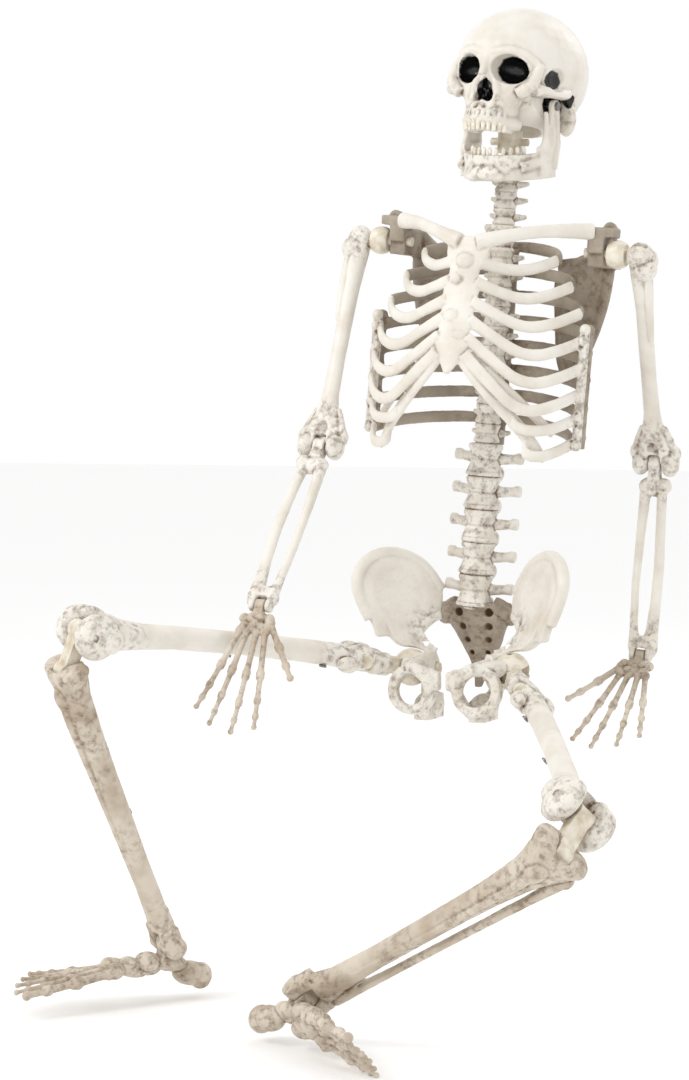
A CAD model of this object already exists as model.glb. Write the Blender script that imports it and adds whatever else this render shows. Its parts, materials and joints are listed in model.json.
"""The looks of a posable plastic skeleton, sitting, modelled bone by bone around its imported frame.

Lengths in the bone lists are millimetres in that bone's own frame: the origin is the joint nearest the trunk,
+Z points back along the bone, -Y is its front, and +X is the outer side of the left one. Right bones are the
left ones turned over.
"""
import json
import math

import bpy
import numpy as np
from mathutils import Matrix, Vector


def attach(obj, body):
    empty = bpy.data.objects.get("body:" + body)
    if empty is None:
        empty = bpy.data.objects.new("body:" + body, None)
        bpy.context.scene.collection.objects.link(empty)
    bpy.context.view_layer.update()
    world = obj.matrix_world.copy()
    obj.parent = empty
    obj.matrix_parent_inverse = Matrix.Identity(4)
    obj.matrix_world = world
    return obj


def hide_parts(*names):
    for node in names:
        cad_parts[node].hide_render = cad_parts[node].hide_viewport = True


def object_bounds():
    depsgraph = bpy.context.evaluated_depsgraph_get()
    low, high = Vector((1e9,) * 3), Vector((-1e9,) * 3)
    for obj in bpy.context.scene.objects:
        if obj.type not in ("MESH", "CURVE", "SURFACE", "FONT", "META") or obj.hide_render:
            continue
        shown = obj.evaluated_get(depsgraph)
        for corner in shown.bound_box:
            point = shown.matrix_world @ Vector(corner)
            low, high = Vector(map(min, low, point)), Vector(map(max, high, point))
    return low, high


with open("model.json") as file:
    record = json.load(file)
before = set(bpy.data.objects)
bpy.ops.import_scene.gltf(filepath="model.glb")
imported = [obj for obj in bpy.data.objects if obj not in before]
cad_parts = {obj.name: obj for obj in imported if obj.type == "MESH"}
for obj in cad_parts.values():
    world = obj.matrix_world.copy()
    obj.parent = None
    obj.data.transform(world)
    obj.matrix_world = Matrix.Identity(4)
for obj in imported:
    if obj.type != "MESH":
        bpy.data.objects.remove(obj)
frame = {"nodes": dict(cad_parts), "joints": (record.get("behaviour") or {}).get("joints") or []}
CAD_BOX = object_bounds()
JOINTS = {joint["name"]: joint for joint in frame["joints"]}

bl_info = {
    "name": "Posable skeleton figure",
    "version": (1, 0, 0),
    "blender": (4, 5, 0),
    "location": "View3D > Sidebar > Skeleton",
    "description": "Models the bones of a sitting posable skeleton around its frame",
    "category": "Object",
}

MM = 0.001
SIDES = {"left": 1, "right": -1}
# The stored bends that no other joint shows, in degrees
HEAD_LEVEL = -2
JAW_OPEN = 12
WRIST_BEND = {"right": -7, "left": 50}
ANKLE_BEND = {"right": -32, "left": -60}
# Where the trunk's own origin lies from the middle of the shoulders
TRUNK_ORIGIN = (0, 12, -376)
# The finish of a moulding: strength of one smoothing pass, width of its hand-worked lumps, hand weld distance
EASE, LUMP_WIDTH, WELD = 0.5, 9 * MM, 1e-6
# A broad even light, a weak one opposite and one behind: name, place, width in metres, watts
LIGHTS = (("key", (-1.7, -2.2, 2.3), 1.3, 34), ("fill", (2.6, -1.8, 1.2), 2.2, 5), ("rim", (1.2, 2.4, 2.4), 1.4, 16))
LIGHTS_AIM = Vector((0, 0, 0.2))
EYE, GAZE, LENS, SENSOR = (1.048, -2.6577, 0.3387), Vector((-0.4062, 0.9123, -0.0523)), 90, 36
FLOOR_SIZE, FLOOR_GAP, FAR_CLIP = 40, 0.002, 100


# ---------------------------------------------------------------- frames

def turned(parent, at=(0, 0, 0), turn=(0, 0, 0)):
    """A frame inside its parent: moved in millimetres, then turned about its own X, Y and Z in degrees."""
    place = parent @ Matrix.Translation(Vector(at) * MM)
    for angle, axis in zip(turn, "XYZ"):
        place = place @ Matrix.Rotation(math.radians(angle), 4, axis)
    return place


def pivot(joint):
    """Where a joint is, in metres."""
    return Vector(JOINTS[joint]["pos_m"])


def hinge_axis(joint):
    """The way a joint's axis points."""
    return Vector(JOINTS[joint]["axis"]).normalized()


def axes_frame(origin, across, up):
    """A frame from its origin, its X axis, and a rough Z axis."""
    across = across.normalized()
    forward = up.cross(across).normalized()
    up = across.cross(forward)
    place = Matrix((across, forward, up)).transposed().to_4x4()
    place.translation = origin
    return place


def bone_frame(near, far, across):
    """The frame of a bone that hangs from one joint and ends at the next."""
    return axes_frame(pivot(near), across, pivot(near) - pivot(far))


def all_frames():
    """The frame of every body that carries a bone."""
    shoulders = pivot("shoulder_swing_left"), pivot("shoulder_swing_right")
    across = shoulders[0] - shoulders[1]
    trunk = axes_frame((shoulders[0] + shoulders[1]) / 2, across, Vector((0, -1, 0)).cross(across))
    places = {"pelvis": Matrix.Identity(4), "trunk": turned(trunk, TRUNK_ORIGIN)}
    neck = axes_frame(pivot("head_turn"), -hinge_axis("head_nod"), hinge_axis("head_turn"))
    places["neck_hub"] = neck
    places["head"] = turned(neck, turn=(HEAD_LEVEL, 0, 0))
    jaw = turned(places["head"], turn=(JAW_OPEN, 0, 0))
    jaw.translation = pivot("jaw_open")
    places["jaw"] = jaw
    for side in SIDES:
        elbow = -hinge_axis(f"elbow_bend_{side}")
        knee = hinge_axis(f"knee_upper_{side}")
        upper = bone_frame(f"shoulder_spread_{side}", f"elbow_bend_{side}", elbow)
        lower = bone_frame(f"elbow_bend_{side}", f"wrist_bend_{side}", elbow)
        hand = turned(lower, turn=(-WRIST_BEND[side], 0, 0))
        hand.translation = pivot(f"wrist_bend_{side}")
        shin = bone_frame(f"knee_lower_{side}", f"ankle_bend_{side}", knee)
        foot = turned(shin, turn=(ANKLE_BEND[side], 0, 0))
        foot.translation = pivot(f"ankle_bend_{side}")
        places.update({
            f"upper_arm_{side}": upper, f"forearm_{side}": lower, f"hand_{side}": hand,
            f"thigh_{side}": bone_frame(f"hip_swing_{side}", f"knee_upper_{side}", knee),
            f"shin_{side}": shin, f"foot_{side}": foot,
        })
    return places


PLACES = all_frames()


# ---------------------------------------------------------------- modelling

def deselect():
    """Nothing selected, so that an operator acts only on what is made next."""
    bpy.ops.object.select_all(action="DESELECT")


def only(piece):
    """Makes one object the only selected and active one."""
    deselect()
    piece.select_set(True)
    bpy.context.view_layer.objects.active = piece


def apply(piece, kind, **settings):
    """Adds a modifier, sets it up and applies it."""
    only(piece)
    bpy.ops.object.modifier_add(type=kind)
    modifier = piece.modifiers[-1]
    for setting, value in settings.items():
        setattr(modifier, setting, value)
    bpy.ops.object.modifier_apply(modifier=modifier.name)


class Clay:
    """The lumps that are pressed into one moulding, and the tools that cut it."""

    def __init__(self):
        self.lumps = []
        self.tools = []
        self.cutting = False

    def keep(self):
        """Takes the newest object as a lump, or as a tool while cutting."""
        (self.tools if self.cutting else self.lumps).append(bpy.context.object)
        return bpy.context.object

    def ball(self, x, y, z, across, deep=None, high=None, turn=(0, 0, 0)):
        """An egg: its centre, half sizes and turn."""
        deselect()
        sizes = (across, deep or across, high or across)
        bpy.ops.mesh.primitive_uv_sphere_add(segments=32, ring_count=18, radius=MM, scale=sizes,
                                             location=Vector((x, y, z)) * MM,
                                             rotation=[math.radians(angle) for angle in turn])
        return self.keep()

    def block(self, x, y, z, across, deep, high, turn=(0, 0, 0)):
        """A square-edged lump that the finish rounds off: its centre, full sizes and turn."""
        deselect()
        bpy.ops.mesh.primitive_cube_add(size=MM, scale=(across, deep, high), location=Vector((x, y, z)) * MM,
                                        rotation=[math.radians(angle) for angle in turn])
        return self.keep()

    def rod(self, x, y, z, radius, length, along="X"):
        """A round bar or bore along one axis, by its middle."""
        deselect()
        turn = {"X": (0, math.pi / 2, 0), "Y": (math.pi / 2, 0, 0), "Z": (0, 0, 0)}[along]
        bpy.ops.mesh.primitive_cylinder_add(vertices=28, radius=radius * MM, depth=length * MM,
                                            location=Vector((x, y, z)) * MM, rotation=turn)
        return self.keep()

    def shaft(self, stations, turn=(0, 0, 0), at=(0, 0, 0)):
        """A bone's body extruded ring by ring: each station is (z, x, y, half width, half depth)."""
        deselect()
        bpy.ops.mesh.primitive_circle_add(vertices=24, radius=MM, fill_type="NGON")
        bpy.ops.object.mode_set(mode="EDIT")
        bpy.ops.mesh.select_all(action="SELECT")
        last = None
        for z, x, y, wide, deep in stations:
            here = Vector((x, y, z)) * MM
            if last is None:
                bpy.ops.transform.translate(value=here)
                bpy.ops.transform.resize(value=(wide, deep, 1), center_override=here)
            else:
                step = here - last[0]
                bpy.ops.mesh.extrude_region_move(TRANSFORM_OT_translate={"value": step})
                bpy.ops.transform.resize(value=(wide / last[1], deep / last[2], 1), center_override=here)
            last = (here, wide, deep)
        bpy.ops.object.mode_set(mode="OBJECT")
        body = self.keep()
        body.matrix_world = turned(Matrix.Identity(4), at, turn)
        return body

    def strand(self, points, radii, flat=(1.0, 1.0), upright=False):
        """A smooth bar along points, with a radius at each; flat squeezes its section across and up."""
        curve = bpy.data.curves.new("strand", "CURVE")
        curve.dimensions = "3D"
        curve.twist_mode = "Z_UP" if upright else "MINIMUM"
        spline = curve.splines.new("NURBS")
        spline.points.add(len(points) - 1)
        if not hasattr(radii, "__len__"):
            radii = [radii] * len(points)
        for node, point, radius in zip(spline.points, points, radii):
            node.co = (*(Vector(point) * MM), 1)
            node.radius = radius
        spline.order_u = min(3, len(points))
        spline.use_endpoint_u = True
        curve.resolution_u = 6
        curve.use_fill_caps = True
        profile = None
        if flat == (1.0, 1.0):
            curve.bevel_depth = MM
            curve.bevel_resolution = 3
        else:
            deselect()
            bpy.ops.curve.primitive_nurbs_circle_add(radius=MM)
            profile = bpy.context.object
            for node in profile.data.splines[0].points:
                node.co = (node.co.x * flat[0], node.co.y * flat[1], 0, node.co.w)
            profile.data.resolution_u = 4
            curve.bevel_mode = "OBJECT"
            curve.bevel_object = profile
        bar = bpy.data.objects.new("strand", curve)
        bpy.context.collection.objects.link(bar)
        only(bar)
        bpy.ops.object.convert(target="MESH")
        if profile:
            bpy.data.objects.remove(profile)
        return self.keep()

    def both(self, add, x, *rest, **words):
        """The same lump on the left and on the right."""
        for side in (1, -1):
            add(side * x, *rest, **words)

    def twin_strands(self, points, radii, **words):
        """A bar and its mirror image."""
        for side in (1, -1):
            self.strand([(side * x, y, z) for x, y, z in points], radii, **words)

    def copied(self, *nodes, into):
        """Lumps with the shape of CAD nodes, brought into a bone's frame."""
        for name in nodes:
            data = frame["nodes"][name].data.copy()
            data.transform(into.inverted())
            lump = bpy.data.objects.new("lump", data)
            bpy.context.collection.objects.link(lump)
            only(lump)
            lump.data.materials.clear()
            bpy.ops.object.mode_set(mode="EDIT")
            bpy.ops.mesh.select_all(action="SELECT")
            bpy.ops.mesh.remove_doubles(threshold=WELD)
            bpy.ops.object.mode_set(mode="OBJECT")
            self.keep()

    def fired(self, name, soften, wander, voxel=None):
        """Presses everything into one closed skin, cuts it, smooths it, and gives it a hand-made unevenness.

        voxel is the width of one facet in millimetres, or the panel's own."""
        voxel = voxel or bpy.context.scene.skeleton_looks.voxel
        body = merged(self.lumps)
        apply(body, "REMESH", mode="VOXEL", voxel_size=voxel * MM)
        if self.tools:
            tool = merged(self.tools)
            apply(tool, "REMESH", mode="VOXEL", voxel_size=voxel * MM)
            apply(body, "BOOLEAN", operation="DIFFERENCE", solver="EXACT", object=tool)
            bpy.data.objects.remove(tool)
            apply(body, "REMESH", mode="VOXEL", voxel_size=voxel * MM)
        apply(body, "SMOOTH", factor=EASE, iterations=soften)
        if wander:
            clouds = bpy.data.textures.new("hand_worked", "CLOUDS")
            clouds.noise_scale = LUMP_WIDTH
            apply(body, "DISPLACE", texture=clouds, strength=wander * MM, mid_level=0.5, texture_coords="LOCAL")
            bpy.data.textures.remove(clouds)
        bpy.ops.object.shade_smooth()
        body.name = body.data.name = name
        return body


def merged(lumps):
    """Joins lumps into one object at the origin, with every shell the right way out."""
    deselect()
    for lump in lumps:
        lump.select_set(True)
    bpy.context.view_layer.objects.active = lumps[0]
    if len(lumps) > 1:
        bpy.ops.object.join()
    bpy.ops.object.transform_apply(location=True, rotation=True, scale=True)
    bpy.ops.object.mode_set(mode="EDIT")
    bpy.ops.mesh.select_all(action="SELECT")
    bpy.ops.mesh.normals_make_consistent(inside=False)
    bpy.ops.object.mode_set(mode="OBJECT")
    return bpy.context.object


def vertices_of(mesh, what="co"):
    """Vertex places or normals as an array."""
    values = np.empty(len(mesh.vertices) * 3, np.float32)
    if what == "co":
        mesh.vertices.foreach_get("co", values)
    else:
        mesh.vertex_normals.foreach_get("vector", values)
    return values.reshape(-1, 3)


def store(mesh, name, values):
    """Keeps one number per vertex for the material to read."""
    layer = mesh.attributes.new(name, "FLOAT", "POINT")
    layer.data.foreach_set("value", np.ascontiguousarray(values, np.float32))


def near_spots(points, spots):
    """How near each point is to any spot: 1 inside, falling to 0 at twice its radius. Spots are (x, y, z, radius)."""
    best = np.zeros(len(points))
    for x, y, z, radius in spots:
        away = np.linalg.norm(points / MM - np.array((x, y, z)), axis=1) / radius
        best = np.maximum(best, np.clip(2 - away, 0, 1))
    return best


def weather(piece, stain=(), paint=None, rounds=(6, 26)):
    """Measures how deep each point lies in a hollow, fine and broad, and marks the stained and painted spots."""
    mesh = piece.data
    start, normals = vertices_of(mesh), vertices_of(mesh, "normal")
    only(piece)
    bpy.ops.object.modifier_add(type="SMOOTH")
    smooth = piece.modifiers[-1]
    smooth.factor = EASE
    for name, turns in zip(("crevice", "hollow"), rounds):
        smooth.iterations = turns
        eased = piece.evaluated_get(bpy.context.evaluated_depsgraph_get())
        depth = ((vertices_of(eased.to_mesh()) - start) * normals).sum(1) / MM
        eased.to_mesh_clear()
        store(mesh, name, depth)
    piece.modifiers.clear()
    store(mesh, "stain", near_spots(start, stain))
    store(mesh, "paint", near_spots(start, ()) if paint is None else paint(start / MM))


def mirrored(piece, name):
    """The same bone for the right side, its faces turned back outwards."""
    twin = piece.copy()
    twin.data = piece.data.copy()
    twin.name = twin.data.name = name
    bpy.context.collection.objects.link(twin)
    twin.data.transform(Matrix.Scale(-1, 4, (1, 0, 0)))
    twin.data.flip_normals()
    return twin


def settle(piece, body, slot, look, *nodes, place=None):
    """Puts a finished bone in its place, gives it its material, and lets it ride and stand for its CAD nodes."""
    piece.data.transform(PLACES[place or body])
    piece.data.materials.clear()
    piece.data.materials.append(finish_of(look))
    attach(piece, body)
    if nodes:
        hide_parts(*nodes)
    return piece


def pair(name, make, body, slot, look, *nodes, place=None):
    """Models the left bone once and settles it and its mirror image; nodes and body name each side with {}."""
    left = make(f"{name}_left")
    for side, piece in (("left", left), ("right", mirrored(left, f"{name}_right"))):
        carrier = body.format(side)
        settle(piece, carrier, slot, look, *[node.format(side) for node in nodes], place=place)


def small_bone(clay, start, end, radius, waist=0.62, far=0.9):
    """A knuckle bone: two rounded ends with a waist between them."""
    a, b = Vector(start), Vector(end)
    run = b - a
    points = [a, a + run * 0.16, a + run * 0.5, a + run * 0.84, b]
    clay.strand(points, [radius * 0.9, radius * waist, radius * waist, radius * waist, radius * far * 0.9])
    clay.ball(*(a + run * 0.05), radius, radius * 0.9, radius)
    clay.ball(*(b - run * 0.05), radius * far, radius * far * 0.9, radius * far)


# ---------------------------------------------------------------- materials

def linear(code):
    """A hex colour as Blender's linear numbers."""
    parts = [int(code[i:i + 2], 16) / 255 for i in (1, 3, 5)]
    return [c / 12.92 if c <= 0.04045 else ((c + 0.055) / 1.055) ** 2.4 for c in parts] + [1.0]


def node(tree, kind, settings=None, links=None, **values):
    """Adds one node: settings are its properties, values its input numbers, links its inputs from other outputs."""
    made = tree.nodes.new(kind)
    for name, value in (settings or {}).items():
        setattr(made, name, value)
    for name, value in values.items():
        made.inputs[int(name[2:]) if name.startswith("in") else name.replace("_", " ")].default_value = value
    for name, source in (links or {}).items():
        tree.links.new(source, made.inputs[name])
    return made


def new_material(name):
    """An empty node material with its shader and a texture place."""
    material = bpy.data.materials.new(name)
    material.use_nodes = True
    tree = material.node_tree
    shader = tree.nodes["Principled BSDF"]
    place = node(tree, "ShaderNodeTexCoord").outputs["Object"]
    return material, tree, shader, place


def maths(tree, operation, a, b=None, clamp=False):
    """One sum on numbers or outputs."""
    made = node(tree, "ShaderNodeMath", {"operation": operation, "use_clamp": clamp})
    for i, value in enumerate((a, b)):
        if value is None:
            continue
        if isinstance(value, (int, float)):
            made.inputs[i].default_value = value
        else:
            tree.links.new(value, made.inputs[i])
    return made.outputs[0]


def mixed(tree, factor, a, b):
    """One colour laid over another."""
    made = node(tree, "ShaderNodeMix", {"data_type": "RGBA"})
    for i, value in ((0, factor), (6, a), (7, b)):
        if isinstance(value, (int, float, list)):
            made.inputs[i].default_value = value
        else:
            tree.links.new(value, made.inputs[i])
    return made.outputs[2]


def noise(tree, place, millimetres, detail=3.0, roughness=0.55):
    """Cloud pattern whose patches are about as wide as the length given."""
    made = node(tree, "ShaderNodeTexNoise", None, {"Vector": place}, Scale=1 / (millimetres * MM), Detail=detail,
                Roughness=roughness)
    return made.outputs["Fac"]


def times(tree, a, b, clamp=False):
    """a times b."""
    return maths(tree, "MULTIPLY", a, b, clamp)


def plus(tree, a, b, clamp=False):
    """a plus b."""
    return maths(tree, "ADD", a, b, clamp)


def above(tree, value, level, gain, clamp=True):
    """How far a pattern stands above a level, made steeper by a gain."""
    return times(tree, maths(tree, "SUBTRACT", value, level), gain, clamp)


def bumped(tree, shader, height, strength, depth):
    """Raises the surface's relief from a pattern, to a depth in millimetres."""
    bump = node(tree, "ShaderNodeBump", None, {"Height": height}, Strength=strength, Distance=depth * MM)
    tree.links.new(bump.outputs["Normal"], shader.inputs["Normal"])


def washed_plastic(name, pale, warm, wash, base_wash, stain_wash, shine=0.46, grime="#3f2d1e"):
    """Off-white polyethylene bone, blow-moulded and rubbed with thin brown wash that stays in its hollows."""
    material, tree, shader, place = new_material(name)
    crevice, hollow, stain, paint = [
        node(tree, "ShaderNodeAttribute", {"attribute_name": layer}).outputs["Fac"]
        for layer in ("crevice", "hollow", "stain", "paint")]
    # Broad clouding of the plastic's own colour, patches 40 mm across
    colour = mixed(tree, above(tree, noise(tree, place, 40), 0.4, 3.0), linear(pale), linear(warm))
    # The wash: runs into hollows, and stays in streaks about 8 mm wide where it was dabbed on
    dabs = noise(tree, place, 8, 4.0, 0.62)
    dab = above(tree, dabs, 0.47, 5.0)
    deep = times(tree, hollow, 1.1, True)
    fine = times(tree, crevice, 5.5, True)
    held = plus(tree, times(tree, deep, 0.75), times(tree, fine, 0.6), True)
    amount = plus(tree, times(tree, stain, stain_wash), base_wash, True)
    wet = plus(tree, held, times(tree, times(tree, dab, 0.6), stain), True)
    cover = times(tree, wet, amount, True)
    colour = mixed(tree, cover, colour, linear(wash))
    # Dark specks of dried paint, about 2.6 mm, only where the wash is heavy
    speck = above(tree, noise(tree, place, 2.6, 2.0, 0.6), 0.56, 14.0)
    heavy = times(tree, times(tree, stain, dab), stain_wash, True)
    colour = mixed(tree, times(tree, times(tree, speck, heavy), 0.8), colour, linear(grime))
    # Gloss black paint, brushed to a slightly ragged edge
    ragged = plus(tree, paint, above(tree, dabs, 0.5, 0.35, False))
    black = above(tree, ragged, 0.5, 9.0)
    colour = mixed(tree, black, colour, linear("#0b0a0a"))
    tree.links.new(colour, shader.inputs["Base Color"])
    rough = plus(tree, times(tree, dabs, 0.16), shine - 0.06)
    rough = plus(tree, rough, times(tree, cover, 0.2), True)
    rough = times(tree, rough, maths(tree, "SUBTRACT", 1.0, times(tree, black, 0.62)))
    tree.links.new(rough, shader.inputs["Roughness"])
    shader.inputs["IOR"].default_value = 1.5
    shader.inputs["Subsurface Weight"].default_value = 0.04
    shader.inputs["Subsurface Radius"].default_value = (0.004, 0.003, 0.002)
    # Tool marks of the mould: shallow pits 3 mm apart with a finer grain over them
    pits = plus(tree, noise(tree, place, 3.2), times(tree, noise(tree, place, 0.9), 0.5))
    bumped(tree, shader, pits, 0.35, 0.7)
    return material


def clouded(name, patch, colours, rough, contrast=None, grain=None, metal=0.0):
    """A plain material in two clouded colours: rough is its gain and base, grain its size, strength and depth."""
    material, tree, shader, place = new_material(name)
    cloud = noise(tree, place, patch, 4.0)
    factor = above(tree, cloud, *contrast) if contrast else cloud
    tree.links.new(mixed(tree, factor, *map(linear, colours)), shader.inputs["Base Color"])
    tree.links.new(plus(tree, times(tree, cloud, rough[0]), rough[1]), shader.inputs["Roughness"])
    shader.inputs["Metallic"].default_value = metal
    if grain:
        bumped(tree, shader, noise(tree, place, grain[0]), *grain[1:])
    return material


def tooth_enamel():
    """Teeth of the same moulding, left glossier and yellowed by the wash that ran between them."""
    return clouded("teeth_gloss_polyethylene", 6, ("#ece7dc", "#cdbfa6"), (0.2, 0.22), (0.42, 4.0), (1.2, 0.2, 0.4))


def cream_nylon():
    """Injection-moulded nylon joint parts: plain cream, a little waxy, with wear specks."""
    return clouded("joints_moulded_nylon", 14, ("#e3dccd", "#b8a88c"), (0.25, 0.3), (0.4, 3.0), (2, 0.25, 0.5))


def plated_steel():
    """Zinc-plated steel pins and screws: bright, with a faint turned grain and dull patches."""
    return clouded("pins_zinc_plated_steel", 5, ("#9b9a97", "#6f6c66"), (0.3, 0.25), None, (0.6, 0.3, 0.2), 1.0)


def backdrop_paper():
    """Matt seamless paper: almost white, with a trace of fibre."""
    return clouded("backdrop_seamless_paper", 3, ("#fcfcfc", "#f7f7f6"), (0.0, 0.9))


MADE = {}


def finish_of(name):
    """The material of that name, made the first time it is asked for."""
    look = bpy.context.scene.skeleton_looks
    if name not in MADE:
        MADE[name] = {
            "skull": lambda: washed_plastic("skull_moulded_polyethylene", look.pale, look.warm, look.wash, 0.42, 0.6,
                                            0.38),
            "pale": lambda: washed_plastic("bone_moulded_polyethylene", look.pale, look.warm, look.wash, 0.5, 0.75),
            "tan": lambda: washed_plastic("bone_tan_washed_polyethylene", look.tan, look.tan_warm, look.wash, 0.8,
                                          0.6, 0.5),
            "dark": lambda: washed_plastic("bone_grey_washed_polyethylene", look.grey, look.grey_warm, look.wash,
                                           0.85, 0.5, 0.52),
            "teeth": tooth_enamel, "joint": cream_nylon, "steel": plated_steel, "paper": backdrop_paper,
        }[name]()
    return MADE[name]


class SkeletonLooks(bpy.types.PropertyGroup):
    """Colours and sizes that a user may change before making the bones."""
    pale: bpy.props.StringProperty(name="Pale bone", description="Hex colour of the clean plastic", default="#e4dfd6")
    warm: bpy.props.StringProperty(name="Warm bone", description="Hex colour of its warmer clouds", default="#d3cbbd")
    tan: bpy.props.StringProperty(name="Tan bone", description="Hex colour of the washed shins", default="#cfc4b4")
    tan_warm: bpy.props.StringProperty(name="Tan clouds", description="Hex colour of their clouds", default="#ab9a85")
    grey: bpy.props.StringProperty(name="Grey bone", description="Hex colour of the shaded bones", default="#a39888")
    grey_warm: bpy.props.StringProperty(name="Grey clouds", description="Hex colour of their clouds",
                                        default="#7f7364")
    wash: bpy.props.StringProperty(name="Wash", description="Hex colour of the brown wash", default="#6d5640")
    voxel: bpy.props.FloatProperty(name="Grain of the skin", description="Width of one facet of the bones, in mm",
                                   default=1.15, min=0.6, max=3.0)
    teeth: bpy.props.IntProperty(name="Teeth", description="Teeth in each row", default=12, min=6, max=16)


# ---------------------------------------------------------------- head

def skull_clay():
    """Cranium, brow, cheeks and upper jaw."""
    clay = Clay()
    # Cranium, a ball stretched by its frame, and the base of the skull
    cranium = clay.ball(0, 14, 75, 1)
    cranium.matrix_world = Matrix.Translation(cranium.location) @ Matrix.Diagonal((66.5, 84, 67, 1))
    clay.ball(0, 30, 44, 48, 50, 36)
    # Brow
    clay.twin_strands([(0, -63, 84), (14, -66, 87), (28, -60, 88), (42, -48, 83), (50, -40, 72)],
                      [4, 4.5, 4, 4, 4.5])
    # Face, from the upper jaw to between the eyes
    clay.shaft([(4, 0, -47, 24, 26), (16, 0, -46, 26, 28), (30, 0, -44, 29, 26), (44, 0, -41, 37, 25),
                (58, 0, -36, 46, 28), (74, 0, -30, 50, 32)])
    # Rims of the sockets and cheek arches
    clay.twin_strands([(50, -40, 76), (50, -46, 62), (45, -52, 50), (34, -56, 43)], [5, 6, 8, 6])
    clay.twin_strands([(44, -50, 51), (57, -36, 48), (63, -14, 50), (61, 6, 52)], [8, 6, 4.6, 5])
    # Nose bone, its sides, and the knobs behind the ears
    clay.strand([(0, -60, 86), (0, -67, 74), (0, -72, 66), (0, -76, 60)], [6, 5, 4.2, 3])
    clay.twin_strands([(8, -64, 68), (12, -64, 54), (15, -62, 40), (8, -66, 26)], [4, 3.5, 4, 5])
    clay.both(clay.ball, 53, 24, 28, 9, 12, 18)
    clay.strand([(0, -66, 33), (0, -72, 27)], [4, 2.2])
    # Gum ridge with a root above each tooth
    clay.strand([(-26, -34, 14), (-24, -58, 14), (0, -78, 14), (24, -58, 14), (26, -34, 14)],
                [7, 6.5, 5.5, 6.5, 7])
    for step in range(-5, 6):
        angle = math.radians(12 * step)
        clay.strand([(26 * math.sin(angle), -43 - 30 * math.cos(angle), 26),
                     (26 * math.sin(angle), -44 - 32 * math.cos(angle), 12)], [2, 2.6])
    clay.cutting = True
    for side in (1, -1):
        clay.ball(side * 25, -66, 68, 18.5, 30, 15.5, turn=(0, side * 12, side * -8))
        clay.ball(side * 5.4, -76, 41, 6.4, 22, 8, turn=(0, side * -14, 0))
        clay.ball(side * 66, -24, 64, 13, 16, 14)
        clay.block(side * 66, -12, 18, 52, 60, 56)
        clay.ball(side * 62, 14, 47, 7, 7, 6)
        clay.ball(side * 34, -64, 50, 3, 5, 2)
        clay.ball(side * 24, -78, 90, 1.6, 26, 1.6)
    clay.ball(0, -76, 52, 4.6, 20, 9)
    clay.ball(0, 6, 0, 30, 34, 42)
    clay.ball(0, -34, 2, 19, 26, 16)
    return clay


def skull_paint(points):
    """Black paint inside the eye sockets, the nose, the temples and the ears."""
    spots = [(0, -58, 45, 10.5, 16, 14)]
    for side in (1, -1):
        spots += [(side * 25, -48, 68, 17.5, 22, 15), (side * 58, -23, 63, 14, 12, 10),
                  (side * 57, 14, 46, 9, 9, 8), (side * 44, 4, 40, 10, 16, 12)]
    best = np.zeros(len(points))
    for x, y, z, wide, deep, high in spots:
        away = np.linalg.norm((points - np.array((x, y, z))) / np.array((wide, deep, high)), axis=1)
        best = np.maximum(best, np.clip(1.55 - away, 0, 1))
    return best


def tooth_row(name, arch, root, tip, count, scale=1.0):
    """A row of separate rounded teeth along an arch, each leaning with it."""
    teeth = []
    for step in range(count):
        angle = math.radians(-72 + 144 * (step + 0.5) / count)
        x, y = arch[0] * math.sin(angle), arch[2] - arch[1] * math.cos(angle)
        front = abs(step - (count - 1) / 2) / count
        wide = scale * (3.0 if front < 0.1 else 2.6 if front < 0.26 else 3.2)
        deselect()
        bpy.ops.mesh.primitive_cube_add(size=2 * MM, location=Vector((x, y, (root + tip) / 2)) * MM,
                                        rotation=(0, 0, angle), scale=(wide, 2.9, abs(tip - root) / 2))
        tooth = bpy.context.object
        bpy.ops.object.transform_apply(location=False, rotation=False, scale=True)
        apply(tooth, "SUBSURF", levels=2, render_levels=2)
        for vertex in tooth.data.vertices:
            reach = vertex.co.z * (1 if tip > root else -1) / (abs(tip - root) * MM / 2)
            vertex.co.x *= 1 + 0.16 * reach
            vertex.co.y *= 1 - 0.25 * reach
        teeth.append(tooth)
    row = merged(teeth)
    bpy.ops.object.shade_smooth()
    row.name = row.data.name = name
    return row


def jaw_clay():
    """Lower jaw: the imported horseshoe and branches, rounded, with a chin, knuckles and tooth sockets."""
    clay = Clay()
    clay.copied("lower_jaw", into=PLACES["jaw"])
    # Chin, then the ridges of the branches and the knuckles the jaw turns on
    clay.ball(0, -65, -66, 17, 6, 8)
    clay.both(clay.ball, 14, -63, -70, 8, 5, 5)
    clay.twin_strands([(46, -10, -52), (46, -30, -56), (36, -50, -60)], [5, 6, 5])
    for side in (1, -1):
        at = side * 47.6
        clay.strand([(at, 2, 0), (at, 6, -22), (at, 4, -44), (side * 46, -4, -62)], [5, 4, 4.5, 6])
        clay.strand([(at, -18, -4), (at, -14, -22), (at, -22, -44)], [2.5, 3.5, 4])
        clay.rod(at, 0, 0, 7.5, 6)
    clay.cutting = True
    clay.block(0, -46, -38, 86, 70, 18)
    for side in (1, -1):
        clay.ball(side * 14, -72, -56, 2, 8, 2)
        clay.ball(side * 51, -10, -30, 2.5, 8, 14)
    return clay


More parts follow.
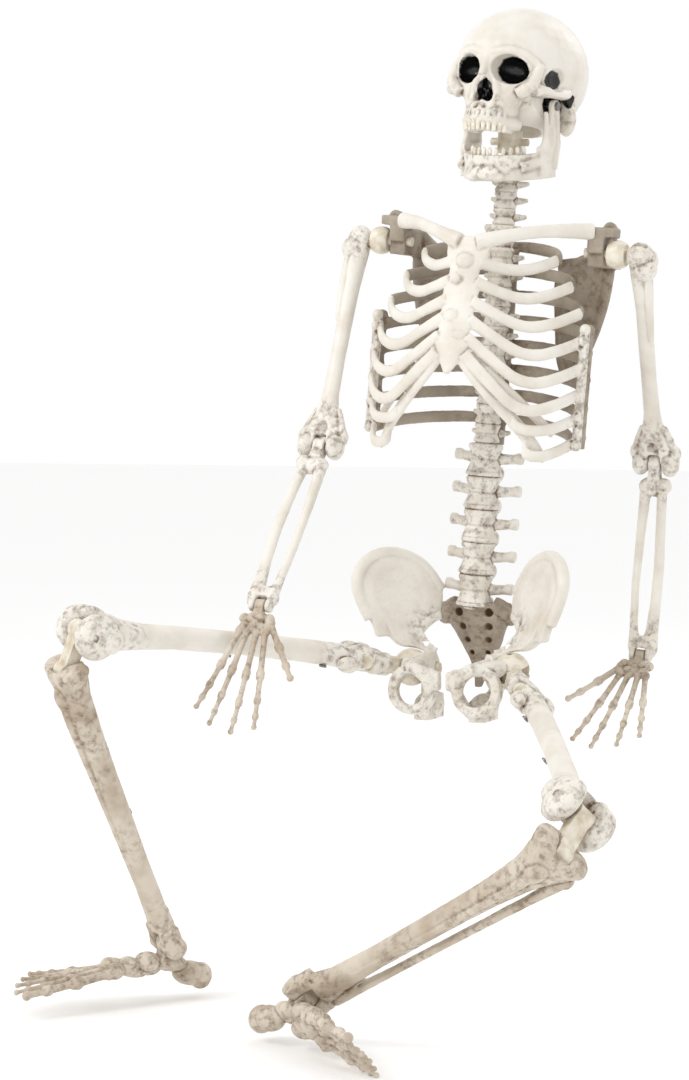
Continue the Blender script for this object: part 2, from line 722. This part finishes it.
class OBJECT_OT_skull(bpy.types.Operator):
    """Models the skull with its painted sockets and upper teeth"""
    bl_idname = "skeleton.skull"
    bl_label = "Make skull"

    def execute(self, context):
        skull = skull_clay().fired("skull", 3, 0.3)
        stain = [(0, -66, 26, 16), (40, -44, 46, 12), (-40, -44, 46, 12), (56, 14, 34, 12), (-56, 14, 34, 12)]
        weather(skull, stain, skull_paint)
        settle(skull, "head", "pale_bone", "skull", "skull_face", "skull_back")
        teeth = tooth_row("upper_teeth", (25.5, 32, -44.5), 17, 1.5, context.scene.skeleton_looks.teeth)
        settle(teeth, "head", "pale_bone", "teeth")
        return {"FINISHED"}


class OBJECT_OT_jaw(bpy.types.Operator):
    """Models the lower jaw and its teeth"""
    bl_idname = "skeleton.jaw"
    bl_label = "Make jaw"

    def execute(self, context):
        jaw = jaw_clay().fired("jaw", 3, 0.3)
        stain = [(0, -66, -50, 16), (30, -52, -50, 12), (-30, -52, -50, 12)]
        weather(jaw, stain)
        settle(jaw, "jaw", "pale_bone", "skull", "lower_jaw")
        teeth = tooth_row("lower_teeth", (33, 42, -18), -50, -38, context.scene.skeleton_looks.teeth)
        settle(teeth, "jaw", "pale_bone", "teeth")
        return {"FINISHED"}


# ---------------------------------------------------------------- spine and pelvis

def column(clay, bottom, top, count, radius, waist, side_reach, side_radius, back_reach, tip=0.6):
    """Stacked vertebrae: waisted bodies with lipped rims, side processes, and a fin behind."""
    pitch = (top - bottom) / count
    for step in range(count):
        low = bottom + step * pitch
        rings = ((0.02, radius * 0.9), (0.08, radius), (0.18, radius * 0.98), (0.26, radius * 0.9), (0.5, waist),
                 (0.74, radius * 0.88), (0.84, radius * 0.97), (0.92, radius), (0.98, radius * 0.88))
        clay.shaft([(low + part * pitch, 0, 0, size, size * 0.95) for part, size in rings])
        clay.rod(0, 0, low, radius * 0.72, 6, "Z")
        middle = low + pitch * 0.55
        clay.twin_strands([(radius * 0.4, 5, middle - 1), (radius, 10, middle - 1), (side_reach, 13, middle + 1)],
                          [side_radius * 1.5, side_radius * 1.1, side_radius * tip])
        if tip > 1:
            clay.both(clay.rod, side_reach, 13, middle + 1, side_radius * 1.25, 7)
        clay.strand([(0, radius * 0.5, middle), (0, radius + 4, middle - 1), (0, back_reach, middle - 5)],
                    [side_radius, side_radius * 0.8, side_radius * 0.7], flat=(0.6, 1.5))


def hip_clay(name):
    """One hip bone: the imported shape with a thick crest, a hollowed wing, and rounded seat and pubic bones."""
    clay = Clay()
    clay.copied("hip_bone_left", into=Matrix.Identity(4))
    wing = axes_frame(Vector((80, 16, 112)) * MM, Vector((0.75, -0.66, 0)), Vector((-0.66, -0.75, 0.2)))

    def on_wing(u, v, w=0.0):
        return wing @ (Vector((u, v, w)) * MM) / MM

    # The wing's thick crest and front edge
    crest = [(-51, 20), (-40, 42), (-20, 58), (8, 64), (30, 56), (44, 38), (44, 14), (32, -10)]
    clay.strand([on_wing(u, v) for u, v in crest], [6.5, 6, 6, 6.5, 7, 7.5, 6, 6])
    clay.strand([on_wing(-50, -6), on_wing(-32, -10), on_wing(-16, -30)], [6, 6, 8])
    # Pubic ring, the neck of the wing, the seat bone
    clay.strand([(34, -52, 58), (22, -56, 52), (15, -55, 46), (14, -52, 36)], [7, 7, 7.5, 7])
    clay.strand([(14, -52, 38), (22, -48, 16), (30, -34, 6), (32, -16, 10)], [6, 6, 7, 9])
    clay.strand([on_wing(0, -10), (75, 11, 86), (60, 6, 84), (44, 2, 76), (38, -4, 62)], [15, 14, 12, 11, 10])
    clay.ball(31, -13, 14, 14, 27, 15)
    clay.ball(14, -50, 44, 10, 9, 13)
    clay.strand([(52, -16, 56), (44, -40, 58), (28, -54, 56)], [10, 8, 7])
    clay.cutting = True
    hollow = clay.ball(0, 0, 0, 1)
    hollow.matrix_world = wing @ Matrix.Translation(Vector((-2, 18, 32)) * MM) @ Matrix.Diagonal((72, 74, 30, 1))
    clay.ball(57, 0, 52, 21.5)
    clay.rod(90, 0, 52, 22, 60)
    piece = clay.fired(name, 4, 0.5)
    weather(piece, [(36, -46, 34, 22), (50, 30, 90, 16), (34, -10, 10, 14)])
    return piece


def sacrum_clay():
    """Sacrum and tail: a curved wedge with four pairs of holes and a ridge down its back."""
    clay = Clay()
    clay.shaft([(120, 0, 46, 40, 12), (104, 0, 50, 38, 15), (90, 0, 55, 30, 13), (74, 0, 61, 23, 11),
                (58, 0, 64, 15, 8), (46, 0, 62, 10, 7), (36, 0, 56, 6, 5), (28, 0, 51, 4, 4)])
    clay.twin_strands([(20, 42, 119), (34, 46, 112), (40, 56, 100)], [9, 11, 8])
    for z, y in ((118, 38), (101, 40), (86, 45), (71, 52)):
        clay.strand([(-16, y + 3, z), (0, y, z), (16, y + 3, z)], [3, 3.6, 3])
    clay.strand([(0, 64, 112), (0, 70, 92), (0, 73, 72), (0, 70, 52)], [5, 5, 4, 3])
    clay.cutting = True
    for x, z, y, size in ((17, 110, 38, 5), (15, 94, 41, 4.6), (12, 79, 47, 4), (9, 65, 54, 3.2)):
        clay.both(clay.ball, x, y, z, size, 9, size)
    return clay


class OBJECT_OT_spine(bpy.types.Operator):
    """Models the neck, chest and lumbar vertebrae"""
    bl_idname = "skeleton.spine"
    bl_label = "Make spine"

    def execute(self, context):
        lumbar = Clay()
        column(lumbar, -8, 168, 5, 19, 14.5, 35, 5, 40, tip=1.05)
        for step in range(5):
            low = -8 + step * 35.2
            lumbar.rod(0, 0, low + 2, 20, 3, "Z")
            lumbar.both(lumbar.ball, 10, 18, low + 2, 6, 7, 9)
        chest = Clay()
        column(chest, 168, 376, 10, 14.5, 11.5, 22, 3.6, 30)
        chest.shaft([(374, 0, 0, 10, 9.5), (386, 0, 0, 15, 12), (396, 0, 0, 21, 15), (400, 0, 0, 20, 14)])
        neck = Clay()
        column(neck, 400, 470, 4, 12.5, 9, 21, 3.6, 24)
        neck.rod(0, 0, 478, 6.2, 22, "Z")
        for name, clay, cad in (("lumbar_vertebrae", lumbar, "lumbar_spine"),
                                ("chest_vertebrae", chest, "thoracic_spine"),
                                ("neck_vertebrae", neck, "neck_column")):
            piece = clay.fired(name, 2, 0.3)
            weather(piece, [(0, 8, z, 24) for z in range(-8, 490, 40)])
            settle(piece, "trunk", "pale_bone", "pale", cad)
        return {"FINISHED"}


class OBJECT_OT_pelvis(bpy.types.Operator):
    """Models the sacrum and both hip bones"""
    bl_idname = "skeleton.pelvis"
    bl_label = "Make pelvis"

    def execute(self, context):
        sacrum = sacrum_clay().fired("sacrum_and_tail", 3, 0.5)
        weather(sacrum, [(0, 48, 100, 40), (0, 58, 70, 20)])
        settle(sacrum, "trunk", "dark_bone", "dark", "sacrum", place="pelvis")
        pair("hip", hip_clay, "trunk", "pale_bone", "pale", "hip_bone_{}", place="pelvis")
        return {"FINISHED"}


# ---------------------------------------------------------------- chest

# The hoops: where their backs lie, their half sizes, the heights of the lowest and the highest
CAGE_BACK, CAGE_WIDE, CAGE_DEEP, CAGE_BOTTOM, CAGE_TOP = 30, 122, 80, 176, 366
RIB_PAIRS, RIB_SLOPE, RIB_INSET = 8, math.radians(14), 3
BREASTBONE, BREASTBONE_LEAN = (0, -109, 318), 15
# The front ribs' long thin bars would be too many facets at the panel's own grain
FRONT_RIBS_GRAIN = 1.15


def hoop_point(pair_number, angle):
    """A point on one rib pair's sloping hoop, its angle from the breastbone in degrees."""
    height = CAGE_BOTTOM + pair_number * (CAGE_TOP - CAGE_BOTTOM) / (RIB_PAIRS - 1)
    rise = (height - CAGE_BOTTOM) / (CAGE_TOP - CAGE_BOTTOM)
    wide = CAGE_WIDE * (1 - max(0.0, rise - 0.4) ** 2 - 0.2 * max(0.0, 0.3 - rise)) - RIB_INSET
    deep = CAGE_DEEP - 22 * rise ** 2 - RIB_INSET
    turn = math.radians(angle)
    along = -deep * math.cos(turn)
    return Vector((wide * math.sin(turn), CAGE_BACK - deep - RIB_INSET + along * math.cos(RIB_SLOPE),
                   height + along * math.sin(RIB_SLOPE)))


def front_ribs_clay():
    """Breastbone, collar bones, front ribs and the arch of cartilage that joins the low ones."""
    clay = Clay()
    clay.shaft([(-80, 0, -1, 3, 2.5), (-70, 0, 0, 9, 3.5), (-60, 0, 0, 13, 4.5), (-48, 0, 0, 19, 5.2),
                (-36, 0, 0, 16.5, 4.6), (-22, 0, 0, 20, 5.4), (-8, 0, 0, 17, 4.6), (8, 0, 0, 20, 5.4),
                (22, 0, 0, 16.5, 4.6), (36, 0, 0, 17, 5), (48, 0, 0, 23, 6), (60, 0, 0, 24, 6), (67, 0, 0, 17, 5)],
               turn=(-BREASTBONE_LEAN, 0, 0), at=BREASTBONE)
    for x, y, z, size in ((-6, -112, 340, 6), (8, -110, 322, 7), (-5, -118, 300, 7), (6, -122, 280, 6),
                          (0, -104, 358, 8)):
        clay.ball(x, y, z, size, size * 0.45, size * 0.9)
    clay.twin_strands([(10, -96, 377), (30, -92, 384), (58, -70, 392), (84, -40, 397), (108, -20, 398)],
                      [9.5, 7.2, 6.4, 7.4, 9], flat=(0.8, 1.0), upright=True)
    heights = (262, 279, 297, 316, 336, 357)
    for number in range(RIB_PAIRS):
        start = hoop_point(number, 92 if number < 7 else 86)
        low = hoop_point(number, 62)
        bend = hoop_point(number, 38)
        drop = 13 - 1.2 * number
        for side in (1, -1):
            if number >= 2:
                z = heights[number - 2]
                y = BREASTBONE[1] - (BREASTBONE[2] - z) * math.tan(math.radians(BREASTBONE_LEAN)) - 0.5
                end = Vector((15, y, z))
                near = end.lerp(bend, 0.42) + Vector((0, -5, -3))
                path = [start, low + Vector((0, 0, -drop * 0.6)), bend + Vector((0, 0, -drop)), near, end]
                sizes = [6.6, 6.2, 6.4, 5.8, 7.0]
            else:
                end = Vector((62, -98, 200)) if number else Vector((78, -86, 176))
                path = [start, low + Vector((0, 0, -6)), bend.lerp(end, 0.6) + Vector((0, 0, -6)), end]
                sizes = [6.2, 6.0, 6.0, 6.4]
            clay.strand([(side * p.x, p.y, p.z) for p in path], sizes, flat=(0.52, 1.0), upright=True)
    clay.twin_strands([(12, -124, 258), (26, -121, 240), (44, -112, 220), (66, -96, 196), (84, -80, 172),
                       (92, -70, 158)], [6, 6.5, 7, 7.5, 7, 4], flat=(0.52, 1.0), upright=True)
    clay.twin_strands([(14, -120, 268), (34, -115, 250), (58, -102, 228), (82, -84, 204), (98, -66, 186)],
                      [5, 5.5, 5.5, 5.5, 5], flat=(0.52, 1.0), upright=True)
    clay.both(clay.block, 117, -45.5, 236, 8, 11, 128)
    for z in (176, 203, 230, 257, 284, 296):
        clay.both(clay.ball, 117, -47, z, 5.5, 8, 6)
    return clay


def back_ribs_clay():
    """The back ribs, running in to the strip behind the spine."""
    clay = Clay()
    for number in range(RIB_PAIRS):
        path = [hoop_point(number, angle) for angle in (92, 112, 134, 154, 168, 178)]
        clay.twin_strands(path, [6.4, 6.2, 6.4, 6.4, 6, 5], flat=(0.55, 1.0), upright=True)
    clay.shaft([(166, 0, 21, 12, 8), (270, 0, 21, 13, 9), (376, 0, 21, 12, 8)])
    clay.both(clay.block, 117, -34.5, 236, 8, 11, 128)
    for z in (184, 214, 244, 272, 296):
        clay.both(clay.ball, 117, -34, z, 5.5, 8, 6)
    return clay


def scapula_clay(name):
    """A shoulder blade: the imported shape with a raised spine, thick edges and a rounded socket."""
    clay = Clay()
    clay.copied("scapula_left", into=PLACES["trunk"])
    edge = [(108, 378), (50, 368), (58, 300), (66, 242), (90, 260), (112, 336), (110, 376)]
    clay.strand([(x, 36, z) for x, z in edge], [5, 4.5, 4.5, 5.5, 4.5, 5.5, 6], flat=(1.0, 1.0))
    clay.strand([(56, 40, 350), (80, 46, 362), (104, 38, 382), (120, 14, 402), (122, -10, 403)], [3, 5, 6, 7, 7])
    clay.strand([(112, 30, 378), (114, 10, 390), (112, -14, 396)], [8, 8, 8])
    clay.ball(114, -12, 388, 9, 13, 9)
    clay.ball(114, 18, 376, 9, 20, 14)
    clay.cutting = True
    clay.rod(134, -12, 376, 17, 26)
    clay.ball(74, 50, 322, 16, 14, 30)
    piece = clay.fired(name, 4, 0.5)
    weather(piece, [(80, 36, 330, 50)])
    return piece


class OBJECT_OT_chest(bpy.types.Operator):
    """Models the rib cage and both shoulder blades"""
    bl_idname = "skeleton.chest"
    bl_label = "Make chest"

    def execute(self, context):
        front = front_ribs_clay().fired("front_ribs", 3, 0.6, context.scene.skeleton_looks.voxel * FRONT_RIBS_GRAIN)
        spots = [(side * 117, -44, z, 12) for side in (1, -1) for z in range(180, 300, 20)]
        weather(front, spots)
        settle(front, "trunk", "pale_bone", "pale", "ribcage_front")
        back = back_ribs_clay().fired("back_ribs", 3, 0.6)
        weather(back, spots + [(0, 20, z, 30) for z in range(180, 380, 30)])
        settle(back, "trunk", "dark_bone", "dark", "ribcage_back")
        pair("blade", scapula_clay, "trunk", "dark_bone", "dark", "scapula_{}")
        return {"FINISHED"}


# ---------------------------------------------------------------- arms

def humerus_clay(name):
    """Upper arm bone."""
    clay = Clay()
    clay.ball(0, 0, 0, 14.5)
    clay.ball(6, -3, -13, 12.5, 13, 13)
    clay.ball(10, 4, -6, 8, 10, 11)
    clay.shaft([(-6, 0, 0, 12, 12), (-34, 1, 0, 11, 11.5), (-60, 1, 0, 9.4, 9.8), (-100, 0, -1, 8.4, 8.8),
                (-140, 0, -1, 8.2, 8.4), (-180, 0, 0, 9, 8), (-204, 0, 0, 13, 8), (-222, 0, 0, 21, 8.5),
                (-236, 0, 0, 23, 9)])
    clay.strand([(8, -6, -24), (9, -7, -60), (7, -5, -96)], [5, 4.5, 3])
    for side in (1, -1):
        clay.ball(side * 16.5, 0, -240, 9.5, 14, 13.5)
        clay.ball(side * 22, 2, -228, 6.5, 7.5, 9)
        clay.strand([(side * 12, 1, -196), (side * 19, 1, -214), (side * 22, 1, -230)], [3, 4.5, 6])
    clay.cutting = True
    # Slot for the shoulder hub's plate, and the fork of the elbow
    clay.block(-7, 0, 6, 32, 9, 32)
    clay.block(0, -10, -246, 14, 44, 36)
    clay.block(0, -22, -226, 14, 28, 20)
    clay.ball(0, -11, -220, 9, 7, 10)
    clay.ball(0, 11, -218, 9, 7, 11)
    piece = clay.fired(name, 3, 0.45)
    weather(piece, [(0, 0, -6, 16), (0, 0, -214, 18), (0, 0, -236, 24)])
    return piece


def forearm_clay(name):
    """Radius and ulna with the gap between them."""
    clay = Clay()
    clay.rod(0, 0, 0, 9.5, 13)
    clay.ball(0, 3, 2, 6.5, 9, 9)
    clay.block(0, 0, -12, 13, 14, 24)
    clay.ball(0, 0, -25, 17, 8, 11)
    clay.ball(11, -1, -24, 9, 9, 9)
    clay.shaft([(-20, 9, 0, 7, 7), (-32, 10, -1, 5.4, 5.6), (-60, 11.5, -2, 5.4, 5.2), (-110, 13.5, -2, 5.8, 5),
                (-150, 12.5, -1, 6, 5), (-180, 10.5, 0, 7, 6), (-198, 9, 0, 9.5, 7.5)])
    clay.shaft([(-20, -8.5, 0, 7, 7.5), (-40, -9.5, 1, 6, 6.4), (-80, -11, 1, 5, 5.4), (-130, -12, 0, 4.4, 4.8),
                (-175, -10.5, 0, 4.4, 4.8), (-198, -8.5, 0, 6.5, 6.5)])
    clay.block(0, 0, -193, 24, 12, 13)
    # Fork of the wrist
    for side in (1, -1):
        clay.strand([(side * 9, 0, -190), (side * 9, 0, -208)], [6.5, 6.2], flat=(0.5, 1.05))
        clay.rod(side * 9, 0, -208, 7, 6)
    clay.ball(13, 0, -200, 5, 6, 9)
    clay.ball(-12, 2, -198, 4, 5, 8)
    clay.cutting = True
    clay.block(0, 0, -208, 11, 30, 17)
    clay.ball(0, 0, -180, 3, 9, 8)
    clay.shaft([(-42, 0, 0, 2, 12), (-70, 0, 0, 3.4, 12), (-120, 0, 0, 5, 12), (-168, 0, 0, 4.5, 12),
                (-182, 0, 0, 2, 12)])
    piece = clay.fired(name, 3, 0.4)
    weather(piece, [(0, 0, -16, 20), (0, 0, -196, 22)])
    return piece


def hand_clay(name):
    """Wrist bones, palm bones and fingers."""
    clay = Clay()
    clay.rod(0, 0, 0, 6.5, 10)
    clay.block(0, 0, -9, 10, 9, 14)
    for x, z, size in ((-14, -15, 5.5), (-5, -14, 6), (5, -15, 6), (14, -16, 5.5), (-16, -25, 6), (-7, -25, 5.5),
                       (2, -26, 6), (11, -26, 5.8), (0, -20, 5)):
        clay.ball(x, 0, z, size, size * 0.9, size)

    def ray(x, z, lean, lengths, radius, curl):
        point, bend = Vector((x, 0, z)), 0.0
        for number, length in enumerate(lengths):
            turn = math.radians(lean)
            way = Vector((math.sin(turn), -math.sin(math.radians(bend)), -math.cos(turn))).normalized()
            small_bone(clay, point, point + way * length, radius)
            point = point + way * (length + 0.2)
            radius *= 0.88
            bend += curl

    ray(-15, -18, -34, (34, 24, 17), 5.6, 3)
    for x, lean, lengths in ((-13, -10.5, (52, 28, 18, 13)), (-4, -3, (52, 31, 20, 14)), (6, 5, (48, 29, 19, 14)),
                             (14, 13, (44, 24, 15, 12))):
        ray(x, -28, lean, lengths, 5.1, 1.5)
    # Too small to leave a mark: having a tool makes the finish remesh the hand once more
    clay.cutting = True
    clay.rod(0, 0, 0, 1.2, 3)
    piece = clay.fired(name, 1, 0.2, 0.9)
    weather(piece, [(0, 0, -30, 26), (0, 0, -80, 30), (0, 0, -110, 26), (0, 0, -140, 26)], rounds=(5, 16))
    return piece


class OBJECT_OT_arms(bpy.types.Operator):
    """Models both upper arms, forearms and hands"""
    bl_idname = "skeleton.arms"
    bl_label = "Make arms"

    def execute(self, context):
        pair("humerus_bone", humerus_clay, "upper_arm_{}", "pale_bone", "pale", "humerus_{}")
        pair("forearm_bones", forearm_clay, "forearm_{}", "pale_bone", "pale", "forearm_{}")
        pair("hand_bones", hand_clay, "hand_{}", "tan_bone", "tan", "hand_{}")
        return {"FINISHED"}


# ---------------------------------------------------------------- legs

def femur_clay(name):
    """Thigh bone."""
    clay = Clay()
    clay.rod(0, 0, -42, 12.4, 21, "Z")
    clay.shaft([(-36, 15, 0, 22, 12.5), (-52, 17, 0, 21, 13.5), (-70, 17, 0, 17, 13), (-96, 17, -1, 14, 12.6),
                (-130, 15, -2, 12.6, 12.4), (-210, 10, -3, 12, 12), (-290, 5, -2, 12.8, 12.2),
                (-326, 2, 0, 17, 13), (-350, 0, 0, 25, 15), (-374, 0, 0, 34, 19)])
    clay.ball(36, 1, -45, 13, 15, 16)
    clay.ball(33, -4, -62, 9, 11, 14)
    clay.ball(-4, 5, -82, 8, 9, 12)
    clay.strand([(30, 8, -50), (16, 12, -66), (-2, 9, -80)], [6, 4.5, 5])
    clay.strand([(32, -8, -48), (18, -12, -60), (6, -10, -78)], [5, 3.5, 3])
    for side in (1, -1):
        clay.ball(side * 22, 1, -388, 14.5, 24, 23.5)
        clay.ball(side * 30, 2, -376, 8, 14, 14)
        clay.ball(side * 16, -10, -380, 9, 13, 18)
    clay.cutting = True
    # Room for the hip swivel, then the fork of the knee and its pin heads
    clay.ball(0, 0, 0, 22)
    clay.rod(0, 0, -34, 7.2, 8, "Z")
    clay.block(0, 13, -411, 19, 52, 54)
    clay.ball(0, -26, -386, 6, 8, 26)
    clay.ball(0, 19, -352, 14, 7, 16)
    for side in (1, -1):
        clay.rod(side * 37, 0, -396, 5.2, 6)
    piece = clay.fired(name, 3, 0.6)
    weather(piece, [(14, 0, -50, 34), (-4, 2, -84, 18), (0, 0, -352, 18), (0, 0, -390, 30)])
    return piece


def shin_clay(name):
    """Shin bone with the thin outer bone beside it."""
    clay = Clay()
    clay.shaft([(8, 0, 1, 31, 17), (-2, 0, 1, 32, 18), (-12, 0, 1, 27, 17), (-28, 0, 0, 21, 15.5),
                (-44, 0, 0, 17, 15), (-80, 0, 0, 13.5, 13.5), (-120, 0, 0, 12, 12.5), (-170, 0, 0, 11.3, 12),
                (-230, 0, 0, 11, 11), (-284, 0, 0, 13, 11.5), (-306, 0, 0, 18.5, 13)])
    clay.strand([(-2, -13, -20), (-1, -15, -50), (0, -13, -110), (0, -11, -190), (-1, -9, -260)], [6, 5, 3.5, 3, 3])
    clay.ball(-2, -14, -24, 9, 7, 14)
    clay.both(clay.ball, 20, 2, 2, 13, 15, 9)
    clay.strand([(27, 2, -14), (27, 1, -40), (25, 0, -100), (23, 0, -180), (21, 0, -250), (18, 0, -304)],
                [8.5, 5.6, 4.8, 4.6, 5, 7.5])
    clay.ball(28, 2, -17, 8, 9, 9)
    for side in (1, -1):
        clay.block(side * 15, 0, -318, 12, 20, 26)
        clay.rod(side * 15, 0, -328, 12, 12)
        clay.ball(side * 19, -1, -324, 6, 10, 15)
    clay.cutting = True
    clay.block(0, 8, 12, 19, 40, 46)
    clay.block(0, 0, -330, 18, 60, 32)
    clay.ball(0, 20, -34, 12, 8, 18)
    clay.shaft([(-34, 21, 0, 1.6, 14), (-60, 20, 0, 2.4, 14), (-180, 17.2, 0, 2.4, 14), (-272, 16.4, 0, 1.4, 14)])
    piece = clay.fired(name, 3, 0.6)
    weather(piece, [(0, 0, -10, 34), (0, 0, -60, 30), (0, 0, -320, 30), (16, 0, -200, 20), (16, 0, -120, 20)])
    return piece


def foot_clay(name):
    """Heel, ankle block, instep and toes."""
    clay = Clay()
    sole = turned(Matrix.Identity(4), turn=(0, 0, 10))

    def on_sole(x, y, z):
        return sole @ (Vector((x, y, z)) * MM) / MM

    # Ankle knuckle, heel and instep
    clay.rod(0, 0, 0, 11.5, 17)
    clay.block(0, 2, -13, 17, 20, 18)
    for x, y, z, a, b, c in ((0, 4, -20, 15, 20, 9), (0, 30, -30, 13, 20, 13), (1, 42, -32, 14, 12, 14),
                             (-4, -20, -20, 12, 14, 10), (9, -16, -30, 10, 16, 9), (-9, -42, -25, 11, 12, 10),
                             (-18, -58, -29, 8, 10, 9), (-7, -58, -27, 7, 10, 9), (3, -58, -29, 7, 10, 8),
                             (14, -48, -33, 10, 14, 8), (2, -34, -32, 16, 18, 7)):
        clay.ball(*on_sole(x, y, z), a, b, c, turn=(0, 0, 10))

    def ray(start, knuckle, lengths, radius):
        a, b = on_sole(*start), on_sole(*knuckle)
        small_bone(clay, a, b, radius, 0.68, 1.05)
        way = (b - a).normalized()
        for length in lengths:
            way = (way + Vector((0, 0, 0.02))).normalized()
            a, b = b, b + way * length
            small_bone(clay, a, b, radius * 0.92)
            radius *= 0.88

    ray((-19, -62, -31), (-27, -100, -42), (32, 24), 7)
    ray((-8, -62, -29), (-13, -104, -43), (26, 18, 13), 5)
    ray((2, -62, -30), (-1, -104, -43), (24, 16, 12), 4.8)
    ray((11, -58, -33), (11, -99, -44), (22, 14, 11), 4.6)
    ray((19, -52, -36), (22, -92, -45), (20, 13, 10), 4.6)
    clay.strand([on_sole(19, -52, -36), on_sole(20, -44, -38)], [6, 5])
    piece = clay.fired(name, 2, 0.4, 0.95)
    weather(piece, [(0, 0, -20, 40), (0, -50, -30, 40), (0, -100, -40, 36)], rounds=(5, 18))
    return piece


class OBJECT_OT_legs(bpy.types.Operator):
    """Models both thigh bones, shins and feet"""
    bl_idname = "skeleton.legs"
    bl_label = "Make legs"

    def execute(self, context):
        pair("femur_bone", femur_clay, "thigh_{}", "pale_bone", "pale", "femur_front_{}", "femur_back_{}")
        pair("shin_bones", shin_clay, "shin_{}", "tan_bone", "tan", "shin_front_{}", "shin_back_{}")
        pair("foot_bones", foot_clay, "foot_{}", "tan_bone", "tan", "foot_{}")
        return {"FINISHED"}


# ---------------------------------------------------------------- joints and stage

class OBJECT_OT_joint_parts(bpy.types.Operator):
    """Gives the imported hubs, links, pins and screws their materials"""
    bl_idname = "skeleton.joint_parts"
    bl_label = "Finish joint parts"

    def execute(self, context):
        for name, part in frame["nodes"].items():
            if part.hide_render:
                continue
            metal = "pin" in name.split("_") or "screws" in name
            part.data.materials.clear()
            part.data.materials.append(finish_of("steel" if metal else "joint"))
        return {"FINISHED"}


class OBJECT_OT_studio(bpy.types.Operator):
    """Sets the floor, the soft lights and the camera"""
    bl_idname = "skeleton.studio"
    bl_label = "Make studio"

    def execute(self, context):
        floor_level = CAD_BOX[0][2] - FLOOR_GAP
        deselect()
        bpy.ops.mesh.primitive_plane_add(size=FLOOR_SIZE, location=(0, 0, floor_level))
        floor = bpy.context.object
        floor.name = "studio_floor"
        bpy.ops.object.transform_apply(location=True, rotation=True, scale=True)
        floor.data.materials.append(finish_of("paper"))
        world = bpy.data.worlds.new("studio") if not bpy.data.worlds else bpy.data.worlds[0]
        context.scene.world = world
        world.use_nodes = True
        world.node_tree.nodes["Background"].inputs["Color"].default_value = (1, 1, 1, 1)
        world.node_tree.nodes["Background"].inputs["Strength"].default_value = 1.0
        context.scene.view_settings.view_transform = "Standard"
        for name, place, size, power in LIGHTS:
            light = bpy.data.lights.new(name, "AREA")
            light.size = size
            light.energy = power
            lamp = bpy.data.objects.new(name, light)
            lamp.location = place
            lamp.rotation_euler = (LIGHTS_AIM - Vector(place)).to_track_quat("-Z", "Y").to_euler()
            context.collection.objects.link(lamp)
        camera = bpy.data.cameras.new("camera")
        camera.lens = LENS
        camera.sensor_width = SENSOR
        camera.clip_end = FAR_CLIP
        eye = bpy.data.objects.new("camera", camera)
        eye.location = EYE
        eye.rotation_euler = GAZE.to_track_quat("-Z", "Y").to_euler()
        context.collection.objects.link(eye)
        context.scene.camera = eye
        return {"FINISHED"}


class VIEW3D_PT_skeleton(bpy.types.Panel):
    """Lists the operators in the 3D view's sidebar"""
    bl_label = "Posable skeleton"
    bl_idname = "VIEW3D_PT_skeleton"
    bl_space_type = "VIEW_3D"
    bl_region_type = "UI"
    bl_category = "Skeleton"

    def draw(self, context):
        for name in ("pale", "warm", "tan", "tan_warm", "grey", "grey_warm", "wash", "voxel", "teeth"):
            self.layout.prop(context.scene.skeleton_looks, name)
        for operator in OPERATORS:
            self.layout.operator(operator.bl_idname)


OPERATORS = (OBJECT_OT_skull, OBJECT_OT_jaw, OBJECT_OT_spine, OBJECT_OT_pelvis, OBJECT_OT_chest, OBJECT_OT_arms,
             OBJECT_OT_legs, OBJECT_OT_joint_parts, OBJECT_OT_studio)


def register():
    """Registers the classes and the settings."""
    for kind in (SkeletonLooks, *OPERATORS, VIEW3D_PT_skeleton):
        bpy.utils.register_class(kind)
    bpy.types.Scene.skeleton_looks = bpy.props.PointerProperty(type=SkeletonLooks)


def unregister():
    """Takes them away again."""
    del bpy.types.Scene.skeleton_looks
    for kind in (VIEW3D_PT_skeleton, *reversed(OPERATORS), SkeletonLooks):
        bpy.utils.unregister_class(kind)


def main():
    """Makes every piece in order."""
    register()
    for operator in OPERATORS:
        getattr(bpy.ops.skeleton, operator.bl_idname.split(".")[1])()


if __name__ == "__main__":
    main()
